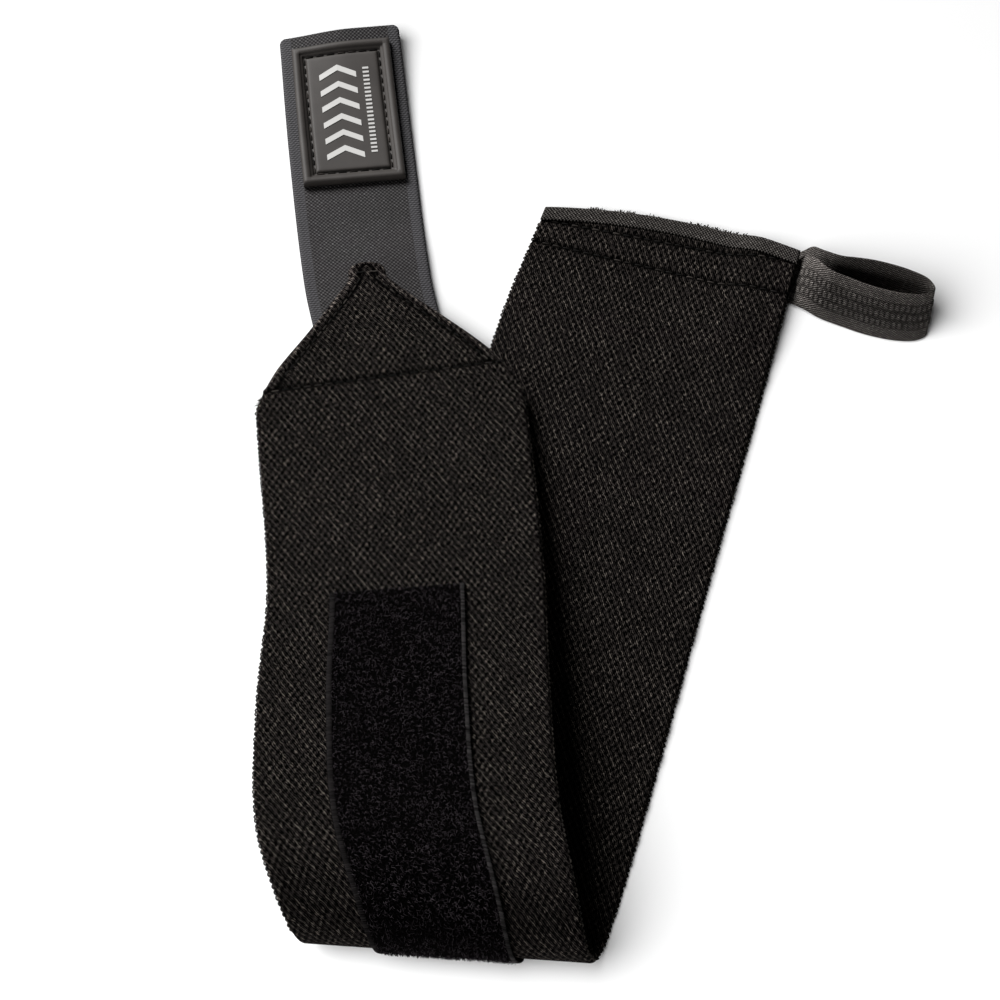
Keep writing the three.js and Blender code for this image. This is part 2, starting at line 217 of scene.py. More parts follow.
def hem_shift(v):
    """How far the bowed hem lies from a straight cut."""
    side = np.asarray(v, float) / HALF_BAND
    return HEM_BOW * side * side - HEM_SLANT * side - HEM_REACH


def moved_hem(s, v):
    """Places along the band, moved near the hem as its cut end is bowed."""
    return s + hem_shift(v) * ease(s, BAND_WIDTH / 2, 0)


def on_band(s, v, h):
    """A place on the band, measured from its cut end, which rises over what is sewn under it."""
    moved = moved_hem(s, v)
    place = bend(moved, v, h)
    over_tape = HEM_LIFT * ease(moved, RISE["tape"] * BINDING_DEPTH, BINDING_DEPTH)
    starts, full = (HALF_BAND - RISE[key] * LOOP_TAIL for key in ("starts", "full"))
    over_ends = ease(v, starts, full)
    near_hem = ease(moved, RISE["fades"] * LOOP_SEAT, RISE["holds"] * LOOP_SEAT)
    place[..., 2] += over_tape + TAIL_STACK * over_ends * near_hem
    return place


corners = lie(STRAP_END, np.array([-1, 1]) * STRAP_WIDTH / 2, 0)
strap_low, strap_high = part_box("strap")
shift_x = strap_low[0] / MM - corners[:, 0].min()
shift_y = strap_high[1] / MM - corners[:, 1].max()
SHIFT = np.array([shift_x, shift_y, 0])
print("the pattern's origin lies at", SHIFT.round(2), "mm")

# %% [markdown]
# The photograph was taken with a long lens from well above, so a narrow angle of view goes with
# a large distance. The main light is a big soft one from behind on the left, and the room gives
# only a little, so the hollow of the fold stays dark. A low weak one at the front left reaches
# the round of the fold. A third, wide and high on the left, lights only the floor, a little
# brighter than white, as in a product picture: the shadow is soft and stays close to the wrap.

# %% Camera, light and floor
CAMERA_AIM = np.array([-51.6, -96.9, -0.2]) + SHIFT
CAMERA_DISTANCE = 971
CAMERA_ELEVATION = math.radians(58)
CAMERA_LENS, CAMERA_SENSOR = 120, 36
scene = bpy.context.scene
scene.view_settings.view_transform = "Standard"


def stand_camera():
    camera = bpy.data.objects.new("camera", bpy.data.cameras.new("camera"))
    scene.collection.objects.link(camera)
    back = np.array([0, -math.cos(CAMERA_ELEVATION), math.sin(CAMERA_ELEVATION)])
    camera.location = (CAMERA_AIM + CAMERA_DISTANCE * back) * MM
    camera.rotation_euler = (math.pi / 2 - CAMERA_ELEVATION, 0, 0)
    camera.data.lens = CAMERA_LENS
    camera.data.sensor_width = CAMERA_SENSOR
    camera.data.clip_start = 0.01
    scene.camera = camera


def soft_light(name, place, size, energy, lit):
    """A round lamp, in metres and watts, that looks at the wrap and lights one collection."""
    lamp = bpy.data.lights.new(name, "AREA")
    lamp.shape = "DISK"
    lamp.size = size
    lamp.energy = energy
    holder = bpy.data.objects.new(name, lamp)
    scene.collection.objects.link(holder)
    holder.location = place
    holder.rotation_euler = (-holder.location).to_track_quat("-Z", "Y").to_euler()
    holder.light_linking.receiver_collection = lit


stand_camera()
only_wrap, only_floor = (bpy.data.collections.new(name) for name in ("only_wrap", "only_floor"))
soft_light("over_wrap", (-0.7, 0.92, 0.78), 0.7, 53, only_wrap)
soft_light("before_wrap", (-0.85, -1.1, 0.45), 0.8, 14, only_wrap)
soft_light("over_floor", (-0.85, -0.4, 1.05), 2.0, 50, only_floor)
world = bpy.data.worlds.new("room")
scene.world = world
world.use_nodes = True
sky = world.node_tree.nodes["Background"]
sky.inputs["Color"].default_value = (1, 1, 1, 1)
sky.inputs["Strength"].default_value = 0.05
print("camera", tuple(round(x, 3) for x in scene.camera.location))

# %% [markdown]
# One small function adds a node with its settings and links, and another turns the sRGB hex
# value of a colour into the linear numbers that the shader takes.

# %% Helpers for materials
# Settings that many nodes share. A Mix of colours takes them at its inputs 6 and 7.
MIX = {"data_type": "RGBA", "out": 2}
DOT = {"operation": "DOT_PRODUCT", "out": "Value"}
SMOOTH = {"interpolation_type": "SMOOTHSTEP"}
FLOOR_COLOUR, FLOOR_REACH = "#f4f4f4", 4


def linear(hex_colour):
    """Linear RGBA from an sRGB hex value."""
    values = [int(hex_colour[i : i + 2], 16) / 255 for i in (1, 3, 5)]
    return (*((x / 12.92 if x <= 0.04045 else ((x + 0.055) / 1.055) ** 2.4) for x in values), 1)


def add(tree, kind, *values, named=None, out=0, **settings):
    """Adds a node, sets it, links or fills its inputs, and gives back one of its outputs."""
    made = tree.nodes.new("ShaderNode" + kind)
    for setting, value in settings.items():
        setattr(made, setting, value)
    for place, value in [*enumerate(values), *(named or {}).items()]:
        if isinstance(value, bpy.types.NodeSocket):
            tree.links.new(value, made.inputs[place])
        elif value is not None:
            made.inputs[place].default_value = value
    return made.outputs[out]


def fresh(name, roughness, gloss):
    """A new material of this roughness and gloss, with its tree and its shader."""
    material = bpy.data.materials.new(name)
    material.use_nodes = True
    shader = material.node_tree.nodes["Principled BSDF"]
    shader.inputs["Roughness"].default_value = roughness
    shader.inputs["Specular IOR Level"].default_value = gloss
    return material, material.node_tree, shader


# Smooth white paper: matt, a little short of pure white
material, tree, shader = fresh("pale_paper", 0.9, 0.5)
shader.inputs["Base Color"].default_value = linear(FLOOR_COLOUR)
bm = bmesh.new()
bmesh.ops.create_grid(bm, x_segments=1, y_segments=1, size=FLOOR_REACH)
mesh = bpy.data.meshes.new("floor")
bm.to_mesh(mesh)
bm.free()
floor = bpy.data.objects.new("floor", mesh)
scene.collection.objects.link(floor)
only_floor.objects.link(floor)
mesh.materials.append(material)
print("floor of", len(mesh.polygons), "face")

# %% [markdown]
# Every cloth piece here is a thin closed sheet. Bmesh makes a flat grid and extrudes it into two
# faces with walls between them. Each corner then knows its line along the piece, its line across
# it and its face, and one function a piece carries it to its place. The flat place stays on the
# mesh as an attribute, so that every weave follows the cloth round the fold.

# %% A closed sheet from a grid


def spaced(*stretches):
    """Lines from the first place on: each stretch runs to a place in steps of about a size."""
    lines = [float(stretches[0])]
    for to, step in stretches[1:]:
        cells = max(1, round(abs(to - lines[-1]) / step))
        lines += list(np.linspace(lines[-1], to, cells + 1)[1:])
    return np.array(lines)


def extruded(bm, rise):
    """Extrudes every face straight up, and gives the places of all the corners."""
    made = bmesh.ops.extrude_face_region(bm, geom=bm.faces[:], use_keep_orig=True)["geom"]
    upper = [corner for corner in made if isinstance(corner, bmesh.types.BMVert)]
    bmesh.ops.translate(bm, vec=(0, 0, rise), verts=upper)
    return np.array([corner.co for corner in bm.verts])


def carried(name, bm, places):
    """A mesh whose corners are moved to places in mm of the pattern's frame."""
    for corner, place in zip(bm.verts, (places + SHIFT) * MM):
        corner.co = place
    bmesh.ops.recalc_face_normals(bm, faces=bm.faces)
    mesh = bpy.data.meshes.new(name)
    bm.to_mesh(mesh)
    bm.free()
    return mesh


def closed_sheet(name, s_lines, c_lines, carry):
    """carry(s, c, side) gives each corner's place across the piece and its place in space."""
    bm = bmesh.new()
    bmesh.ops.create_grid(bm, x_segments=len(s_lines) - 1, y_segments=len(c_lines) - 1, size=0.5)
    grid = extruded(bm, 1)
    low, high = grid.min(axis=0), grid.max(axis=0)
    share = (grid - low) / (high - low)
    s = s_lines[np.rint(share[:, 0] * (len(s_lines) - 1)).astype(int)]
    c = c_lines[np.rint(share[:, 1] * (len(c_lines) - 1)).astype(int)]
    side = 2 * np.rint(share[:, 2]) - 1
    v, places = carry(s, c, side)
    mesh = carried(name, bm, places)
    mesh.shade_smooth()
    flat = mesh.attributes.new("flat", "FLOAT_VECTOR", "POINT")
    flat.data.foreach_set("vector", np.stack([s, v, side], axis=-1).ravel())
    return mesh


def stamp(mesh, values_at):
    """Writes how much shade is painted on a place, from values_at(s, v, side): 0 none, below 0
    painted paler, as light.
    """
    flat = np.empty(3 * len(mesh.vertices))
    mesh.attributes["flat"].data.foreach_get("vector", flat)
    shading = mesh.attributes.new("shading", "FLOAT", "POINT")
    shading.data.foreach_set("value", values_at(*flat.reshape(-1, 3).T))


def piece(name, mesh, material, node):
    """Shows a mesh as one piece that stands for a solid."""
    made = bpy.data.objects.new(name, mesh)
    scene.collection.objects.link(made)
    only_wrap.objects.link(made)
    mesh.materials.append(material)
    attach(made, "root")
    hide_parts(node)
    print(name, "has", sum(len(face.vertices) - 2 for face in mesh.polygons), "triangles")
    return made


def rounded(distance, radius, least=0.15):
    """Share of the thickness at a distance from a rounded edge."""
    inside = 1 - np.clip(distance / radius, 0, 1)
    return least + (1 - least) * np.sqrt(1 - inside * inside)


def groove(distance, width):
    """1 in the middle of a pulled-in line of stitches, fading to 0 beside it."""
    return np.exp(-((distance / width) ** 2))


print("lines of a 5 mm sample:", len(spaced(0, (5, 0.5))))

# %% [markdown]
# The weave is drawn on the flat place in millimetres. Its holes and its yarn floats lie on
# a lattice of rhombs, so two lattice coordinates, with their whole numbers at the floats, give
# the relief, and a random shade to each float. Shade is painted dark into the holes, and a
# glint is painted on the raised floats, stronger where a float's random shade is higher. The
# yarn is twisted, which shows as fine strokes along one diagonal of the lattice, and their
# breaks come from noise that is stretched that way.

# %% Woven cloth
WEAVE_ACROSS = 1.94  # mm between two holes across the webbing
WEAVE_ALONG = 3.17  # mm between two floats along one column
TWIST_ANGLE = math.radians(34)
PLIES = 3  # strokes in one turn of the lattice
STROKE_WIDTH, STROKE_LENGTH = 0.42, 1.1
# The yarn's colour, a glint painted on the raised floats, and shade painted in the weave's holes
ELASTIC = {"yarn": "#1f1c1b", "painted_glint": "#5a544e", "painted_hole_shade": "#000000"}


def flat_place(tree):
    """Coordinates on the flat pattern in mm: s, v, the face, and s seen from that face."""
    place = add(tree, "Attribute", attribute_name="flat", out="Vector")
    split = add(tree, "SeparateXYZ", place).node
    s, v, side = (split.outputs[k] for k in range(3))
    return s, v, side, add(tree, "Math", s, side, operation="MULTIPLY")


def wave(tree, turns, times=1):
    """A cosine of so many turns."""
    angle = add(tree, "Math", turns, 2 * math.pi * times, operation="MULTIPLY")
    return add(tree, "Math", angle, operation="COSINE")


def summed(tree, *parts):
    """The sum of outputs, each times its share."""
    total = None
    for output, share in parts:
        total = add(tree, "Math", output, share, total or 0.0, operation="MULTIPLY_ADD")
    return total


def weave_nodes(tree, across, along_it, wander=0.45, ply=0.55, breaks=4.2):
    """Height from about -1 in the holes to 1 on the floats, and a random shade for each float."""
    _, v, side, turned = flat_place(tree)
    place = add(tree, "CombineXYZ", turned, v, side)
    drift = add(tree, "TexNoise", place, named={"Scale": 0.5, "Detail": 1.5}, out="Color")
    drift = add(tree, "VectorMath", drift, (0.5, 0.5, 0.5), operation="SUBTRACT")
    drift = add(tree, "VectorMath", drift, (2 * wander, 2 * wander, 0), operation="MULTIPLY")
    place = add(tree, "VectorMath", place, drift, operation="ADD")
    lattice = [(sign / along_it, 1 / across, 0) for sign in (1, -1)]
    turns = [add(tree, "VectorMath", place, toward, **DOT) for toward in lattice]
    cell = add(tree, "CombineXYZ", *(add(tree, "Math", turn, operation="ROUND") for turn in turns))
    shade = add(tree, "TexWhiteNoise", cell, noise_dimensions="3D")
    sine, cosine = math.sin(TWIST_ANGLE), math.cos(TWIST_ANGLE)
    over = (sine / STROKE_WIDTH, cosine / STROKE_WIDTH, 0)
    down = (cosine / STROKE_LENGTH, -sine / STROKE_LENGTH, 0)
    strokes = [add(tree, "VectorMath", place, toward, **DOT) for toward in (over, down)]
    strokes = add(tree, "CombineXYZ", *strokes, side)
    broken = add(tree, "TexNoise", strokes, named={"Scale": 1.0, "Detail": 1.5, "Roughness": 0.6})
    height = summed(
        tree,
        (wave(tree, turns[0]), 0.5),
        (wave(tree, turns[1]), 0.35),
        (wave(tree, turns[0], PLIES), ply),
        (broken, breaks),
    )
    return add(tree, "Math", height, breaks / 2, operation="SUBTRACT"), shade


def woven(name, across, along_it, colours, bump=0.25, finish=(0.95, 0.01), **weave):
    """A woven cloth of twisted yarn, its pattern in millimetres, with painted shade in its holes
    and painted glints on its floats.
    """
    material, tree, shader = fresh(name, *finish)
    height, shade = weave_nodes(tree, across, along_it, **weave)
    # Painted shade: the colour darkens to the hole colour in the weave's low places. Painted glint:
    # the highest floats get the glint colour, more on some floats than on others.
    lit = add(tree, "MapRange", height, -0.6, 0.4, **SMOOTH)
    gleam = add(tree, "MapRange", height, 0.3, 1.5, **SMOOTH)
    by_float = add(tree, "MapRange", shade, 0.0, 1.0, 0.2, 1.0, **SMOOTH)
    gleam = add(tree, "Math", gleam, by_float, operation="MULTIPLY")
    yarn, painted_glint, painted_hole_shade = (linear(colours[key]) for key in ("yarn", "painted_glint", "painted_hole_shade"))
    colour = add(tree, "Mix", lit, named={6: painted_hole_shade, 7: yarn}, **MIX)
    colour = add(tree, "Mix", gleam, named={6: colour, 7: painted_glint}, **MIX)
    place = add(tree, "TexCoord", out="Object")
    patchy = add(tree, "TexNoise", place, named={"Scale": 60.0, "Detail": 2.0})
    tone = add(tree, "MapRange", patchy, 0.3, 0.7, 0.88, 1.12)
    # The shade and light that stamp() paints on a mesh darken or lighten the colour here
    shading = add(tree, "Attribute", attribute_name="shading", out="Fac")
    unshaded = add(tree, "Math", 1.0, shading, operation="SUBTRACT")
    tone = add(tree, "Math", tone, unshaded, operation="MULTIPLY")
    colour = add(tree, "VectorMath", colour, named={"Scale": tone}, operation="SCALE")
    normal = add(tree, "Bump", named={"Strength": 1.0, "Distance": bump * MM, "Height": height})
    tree.links.new(colour, shader.inputs["Base Color"])
    tree.links.new(normal, shader.inputs["Normal"])
    return material


# Bulked polyester over rubber: nearly black and matt. A glint is painted into its colour where
# filaments catch the light, which is what makes the webbing look hairy and strong.
ELASTIC_CLOTH = woven("polyester_elastic", WEAVE_ACROSS, WEAVE_ALONG, ELASTIC)
print("elastic cloth:", len(ELASTIC_CLOTH.node_tree.nodes), "nodes")

# %% [markdown]
# The band is one long strip of that elastic. Its hem is pressed flat under the binding, its
# selvedges are round, and at the far end its corners are turned under, so the point is two
# layers thick with a soft rolled edge. Lines of stitches pull shallow grooves into it.

# %% The band
SELVEDGE_ROUND = 0.9
FOLDED_ROUND = 2.2
STITCH_DIP, STITCH_PULL = 0.45, 0.95
TOPSTITCH_INSET = 3.5
# Share of the colour that the shade painted into the stitch grooves takes away
SEAM_SHADE = 0.95
HEM_SEAMS = {"left": [7.0, 15.1], "right": [5.4, 17.3]}
TIP_SEAM, TIP_SEAM_SLANT = BAND_LENGTH + 1.6, 0.065


def half_width(s):
    past = (s - BAND_LENGTH) / TIP_LENGTH
    at_shoulder = 1 - (1 - TIP["half"][0]) * ease(past, -SHOULDER, 0)
    return HALF_BAND * np.where(past >= 0, along(TIP, "half", past), at_shoulder)


def half_thickness(s):
    free = BINDING_DEPTH + GAP
    return HEM_PRESSED / 2 + (HALF_THICK - HEM_PRESSED / 2) * ease(s, free, free + HALF_THICK)


def hem_seam(which, v):
    """How far along the band a hem seam lies at a place across it."""
    left, right = HEM_SEAMS["left"][which], HEM_SEAMS["right"][which]
    return left + (right - left) * (v / BAND_WIDTH + 0.5)


def tip_seam(v):
    """How far along the band the seam across the point's base lies."""
    return TIP_SEAM + TIP_SEAM_SLANT * v


def from_slant(s, v):
    """Distance from the point's slanted edges."""
    step = 0.5
    slope = (half_width(s + step) - half_width(s - step)) / (2 * step)
    return (half_width(s) - np.abs(v)) / np.sqrt(1 + slope * slope)


def band_dips(s, v):
    """How far the stitches pull the band's faces in."""
    dips = sum(groove(moved_hem(s, v) - hem_seam(which, v), STITCH_PULL) for which in (0, 1))
    in_point = ease(s - tip_seam(v), -1, 1)
    dips = dips + in_point * groove(from_slant(s, v) - TOPSTITCH_INSET, STITCH_PULL)
    return STITCH_DIP * (dips + groove(s - tip_seam(v), STITCH_PULL) * (from_slant(s, v) > 1))


def band_shading(s, v, side):
    """Painted shade in the seams' grooves, and a painted highlight, a little paler, on the point's
    smooth rolled edges.
    """
    painted_highlight = ease(s - tip_seam(v), 0, 2) * ease(from_slant(s, v), TOPSTITCH_INSET, 1)
    return SEAM_SHADE * np.clip(band_dips(s, v) / STITCH_DIP, 0, 1) - painted_highlight


def carry_band(s, c, side):
    v = c * half_width(s)
    top = half_thickness(s)
    doubled = ease(s, BAND_LENGTH - 0.5, BAND_LENGTH + 1.5)
    under = top + (FLAP_UNDERSIDE - top) * doubled
    edge = np.minimum(from_slant(s, v), TIP_END - s)
    edge_round = SELVEDGE_ROUND + (FOLDED_ROUND - SELVEDGE_ROUND) * doubled
    half = (top + under) / 2 * rounded(edge, edge_round)
    h = (top - under) / 2 + side * (half - band_dips(s, v) * ease(edge, 0, 1.5))
    return v, on_band(s, v, h)


near_edge = HALF_BAND - np.array([0, 0.08, 0.25, 0.5, 0.9, 1.5])
inner = spaced(-near_edge[-1], (near_edge[-1], 0.87))[1:-1]
c_lines = np.concatenate([-near_edge, inner, near_edge[::-1]])
s_lines = spaced(0, (24, 0.5), (440, 1.3), (TIP_END - 2, 0.5), (TIP_END, 0.25))
mesh = closed_sheet("band_cloth", s_lines, c_lines / HALF_BAND, carry_band)
# Shade is painted into the stitch grooves and a highlight onto the point's rolled edges
stamp(mesh, band_shading)
BAND = piece("band_cloth", mesh, ELASTIC_CLOTH, "wrap_band")

# %% [markdown]
# Stitches, yarn loops, pile and hooks are all short bent threads, thousands of them. One
# function makes them from arrays: each thread is a line of places, and gets a ring of corners
# round each place and a cap at each end. A random shade goes with each thread.

# %% Short threads from arrays
SEED = 7
chance = np.random.default_rng(SEED)


def threads(name, lines, radius, sides, material, node):
    """A piece of threads from lines (count, places, 3), in mm of the pattern's frame."""
    count, places, _ = lines.shape
    ahead = np.gradient(lines, axis=1)
    ahead /= np.linalg.norm(ahead, axis=2, keepdims=True) + 1e-9
    up = np.where(np.abs(ahead[..., 2:]) > 0.9, (1.0, 0.0, 0.0), (0.0, 0.0, 1.0))
    aside = np.cross(ahead, up)
    aside /= np.linalg.norm(aside, axis=2, keepdims=True)
    over = np.cross(aside, ahead)
    angle = 2 * math.pi * np.arange(sides)[:, None] / sides
    ring = aside[..., None, :] * np.cos(angle) + over[..., None, :] * np.sin(angle)
    radius = np.broadcast_to(radius, (count, places))[..., None, None]
    corners = (lines[..., None, :] + radius * ring + SHIFT) * MM
    number = np.arange(count * places * sides).reshape(count, places, sides)
    after = np.roll(number, -1, axis=2)
    walls = np.stack([number[:, :-1], after[:, :-1], after[:, 1:], number[:, 1:]], axis=-1)
    faces = walls.reshape(-1, 4).tolist() + number[:, 0, ::-1].tolist() + number[:, -1].tolist()
    mesh = bpy.data.meshes.new(name)
    mesh.from_pydata(corners.reshape(-1, 3), [], faces)
    mesh.shade_smooth()
    shade = np.repeat(chance.random(count), places * sides)
    mesh.attributes.new("shade", "FLOAT", "POINT").data.foreach_set("value", shade)
    piece(name, mesh, material, node)


def thread_material(name, dark, pale, roughness, gloss, rarity=1.0):
    """Thread whose shade differs from one piece of it to the next. Rarity makes pale ones few."""
    material, tree, shader = fresh(name, roughness, gloss)
    shade = add(tree, "Attribute", attribute_name="shade", out="Fac")
    shade = add(tree, "Math", shade, rarity, operation="POWER")
    colour = add(tree, "Mix", shade, named={6: linear(dark), 7: linear(pale)}, **MIX)
    tree.links.new(colour, shader.inputs["Base Color"])
    return material


print("threads are shaded from seed", SEED)

# %% [markdown]
# The weft turns back at each edge of the webbing and leaves a small loop of yarn there, which
# gives the long edges their fine toothed line.

# %% Selvedge loops
# Bulked polyester yarn: soft, matt and almost black, with paler filaments here and there
YARN = thread_material("bulked_yarn", "#0b0a09", "#332f2b", 0.85, 0.06)
PICOT_STEP = WEAVE_ALONG / 2
PICOT = {"along": [-0.62, -0.4, 0, 0.4, 0.62], "out": [-0.35, 0.1, 0.3, 0.1, -0.35]}


def picots(side):
    middle = np.arange(BINDING_DEPTH + 2, BAND_LENGTH - 2, PICOT_STEP)[:, None]
    s = middle + np.array(PICOT["along"]) + chance.uniform(-0.1, 0.1, middle.shape)
    out = np.array(PICOT["out"]) + chance.uniform(-0.1, 0.12, middle.shape)
    height = chance.uniform(-0.35, 0.35, middle.shape) + 0 * s
    return on_band(s, side * (half_width(s) + out), height)


lines = np.concatenate([picots(-1), picots(1)])
threads("selvedge_loops", lines, 0.26, 5, YARN, "wrap_band")

# %% [markdown]
# Two rows of stitches hold the hem's tape and the ends of the thumb loop. The point is sewn
# round inside its turned edges and across its base, and once more near its tip to hold the
# strap. A stitch is a short length of thread whose ends dive into the cloth.

# %% Seams of the band
# Spun polyester sewing thread: black, a little smoother and paler than the cloth round it
SEWING_THREAD = thread_material("polyester_thread", "#0a0908", "#34302d", 0.8, 0.06, rarity=4.0)
STITCH_STEP, STITCH_GAP, THREAD_RADIUS = 3.2, 0.7, 0.24
STITCH_PLACES, STITCH_RISE, STITCH_DIVE = 6, 0.12, 0.5
ROW_REACH = 0.93  # share of the half width that the hem's rows reach
UPPER_FACE, LOWER_FACE = 1, -1


def stitches(start, end, carry):
    """Stitches from one flat place to another. carry(s, v, rise) gives their places in space."""
    start, end = np.array(start, float), np.array(end, float)
    count = max(1, round(np.linalg.norm(end - start) / STITCH_STEP))
    share = STITCH_GAP / STITCH_STEP
    in_stitch = (1 - share) * np.linspace(0, 1, STITCH_PLACES)
    t = (np.arange(count)[:, None] + share / 2 + in_stitch) / count
    rise = STITCH_RISE - STITCH_DIVE * np.linspace(-1, 1, STITCH_PLACES) ** 4 + 0 * t
    flat = start + t[..., None] * (end - start)
    return carry(flat[..., 0], flat[..., 1], rise)


def on_face(face):
    def carry(s, v, rise):
        return on_band(s, v, face * (half_thickness(s) - band_dips(s, v) + rise))

    return carry


def hem_row(which):
    """Carries thread along a hem row, which is bowed as the cut end is."""

    def carry(s, v, rise):
        for _ in range(6):
            s = s - moved_hem(s, v) + hem_seam(which, v)
        return on_face(LOWER_FACE)(s, v, rise)

    return carry


def point_lines():
    """Straight lines of stitches that follow both slants of the point."""
    s = BAND_LENGTH + TIP_LENGTH * np.array([0.1, 0.3, 0.5, 0.7, 0.86])
    slope = half_width(s + 0.5) - half_width(s - 0.5)
    v = np.maximum(half_width(s) - TOPSTITCH_INSET * np.sqrt(1 + slope * slope), 1.2)
    corners = np.stack([s, v], axis=1)
    ends = list(zip(corners, corners[1:]))
    return [(a * (1, side), b * (1, side)) for side in (-1, 1) for a, b in ends]


base_half = HALF_BAND * TIP["half"][0] - 2
nub = BAND_LENGTH + 0.9 * TIP_LENGTH
base_line = [(tip_seam(v), v) for v in (-base_half, base_half)]
straight_lines = [base_line, [(nub, -4), (nub, 4)]]
rows = [stitches(a, b, on_face(UPPER_FACE)) for a, b in point_lines() + straight_lines]
row_end = ROW_REACH * HALF_BAND
rows += [stitches((9, -row_end), (9, row_end), hem_row(which)) for which in (0, 1)]
lines = np.concatenate(rows)
threads("band_stitches", lines, THREAD_RADIUS, 6, SEWING_THREAD, "wrap_band")

# %% [markdown]
# A narrow tape is folded over the band's cut end, so that it can't fray. Its section is a long
# U, which is drawn as one line and given the tape's thickness on both sides.

# %% Hem binding
# The yarn's colour, a glint painted on the floats, and shade painted in the holes
TAPE = {"yarn": "#393634", "painted_glint": "#918d88", "painted_hole_shade": "#040404"}
# Filament polyester tape: smoother and paler than the band, in a tiny basket weave
BINDING_CLOTH = woven("fine_polyester_tape", 1.0, 1.1, TAPE, 0.2, wander=0.12, ply=0, breaks=1.8)
BINDING_PAST = 0.9  # how far the tape reaches beyond its depth
BINDING_REST = HEM_PRESSED / 2 + GAP + BINDING_THICKNESS / 2
BINDING_LEG = BINDING_DEPTH + BINDING_PAST - BINDING_REST + GAP + BINDING_THICKNESS / 2
BINDING_CUT = 2 * BINDING_LEG + math.pi * BINDING_REST


def carry_binding(s, c, side):
    v = c * HALF_BAND
    arc = s - BINDING_CUT / 2
    bent = np.clip(arc / BINDING_REST, -math.pi / 2, math.pi / 2)
    straight = np.abs(arc) - math.pi / 2 * BINDING_REST
    nose = BINDING_REST - GAP - BINDING_THICKNESS / 2
    radius = BINDING_REST + side * BINDING_THICKNESS / 2
    down = np.where(straight > 0, nose + straight, nose - radius * np.cos(bent))
    place = on_band(down, v, 0)
    place[..., 2] -= radius * np.sin(bent)
    return v, place


s_lines = spaced(0, (BINDING_CUT, 0.35))
mesh = closed_sheet("binding_tape", s_lines, spaced(-1, (1, 1 / 78)), carry_binding)
BINDING = piece("binding_tape", mesh, BINDING_CLOTH, "end_binding")

# %% [markdown]
# The tape's cut ends and the band's last threads fray a little. The tufts are short loose ends
# that stand out of the hem's edge, with a few more at the turned corner of the point.

# %% Frayed ends
FRAY_SPREAD, FRAY_CLUSTERS, FRAY_ENDS = (-26, 24), 22, 14
CORNER_ENDS = 30


def tufts(s, v, height, length, heading):
    """Loose ends of thread from flat places. Heading 0 leans over the hem, and 1 to the left."""
    count = len(s)
    t = np.linspace(0, 1, 4)
    turn = chance.uniform(-1.1, 1.1, count)[:, None] - math.pi / 2 * heading
    reach = (length * chance.uniform(0.4, 1.1, count))[:, None] * t
    curl = chance.uniform(-0.5, 0.5, count)[:, None] * t * t
    rise = chance.uniform(0, 0.5, count)[:, None] * t
    back = s[:, None] - reach * np.cos(turn)
    place = on_band(back, v[:, None] + reach * np.sin(turn) + curl, 0)
    place[..., 2] += height + rise
    return place


middles = chance.uniform(*FRAY_SPREAD, FRAY_CLUSTERS)
v = (middles[:, None] + chance.normal(0, 0.5, (FRAY_CLUSTERS, FRAY_ENDS))).ravel()
at_hem = tufts(np.full(v.size, 0.6), v, 0.7, 1.9, 0)
s = BAND_LENGTH + chance.uniform(-5, -2.5, CORNER_ENDS)
at_corner = tufts(s, 0.8 - half_width(s), 0.3, 1.8, 1)
# Cut filaments: as dark as the cloth, so they show as fine hairs against the pale floor
FILAMENTS = thread_material("loose_filaments", "#0d0b0a", "#3a3530", 0.8, 0.04, rarity=2.0)
lines = np.concatenate([at_hem, at_corner])
threads("frayed_ends", lines, 0.12, 4, FILAMENTS, "end_binding")

# %% [markdown]
# The thumb loop is a tape sewn under the hem at both ends. It leaves the hem flat and turns up
# on its edge as it goes round. Its lower edge is a smooth curve through a short list of places,
# and the tape leans from that edge by an angle that the table gives. Its outer face has three
# rows of short raised bars, laid like bricks, which keep a narrow elastic tape from curling.

# %% The loop's course
LOOP_STEPS = 40
LOOP_ROWS = 561
LEAN_BLUR = 27  # rows over which the lean is evened out, so that the tape turns without a crease


def smooth_path(points, steps):
    """Places on the centripetal curve through some points, with as many steps between each two."""
    points = np.array(points, float)
    points = np.vstack([2 * points[0] - points[1], points, 2 * points[-1] - points[-2]])
    gaps = np.linalg.norm(np.diff(points, axis=0), axis=1) ** 0.5
    path = []
    for i in range(1, len(points) - 2):
        before, here, after = gaps[i - 1 : i + 2]
        p0, p1, p2, p3 = points[i - 1 : i + 3]
        t1 = ((p1 - p0) / before - (p2 - p0) / (before + here) + (p2 - p1) / here) * here
        t2 = ((p2 - p1) / here - (p3 - p1) / (here + after) + (p3 - p2) / after) * here
        t = np.linspace(0, 1, steps, endpoint=False)[:, None]
        cubic = 2 * p1 - 2 * p2 + t1 + t2
        square = -3 * p1 + 3 * p2 - 2 * t1 - t2
        path.append(p1 + t * t1 + t * t * square + t**3 * cubic)
    return np.vstack([*path, points[-2:-1]])


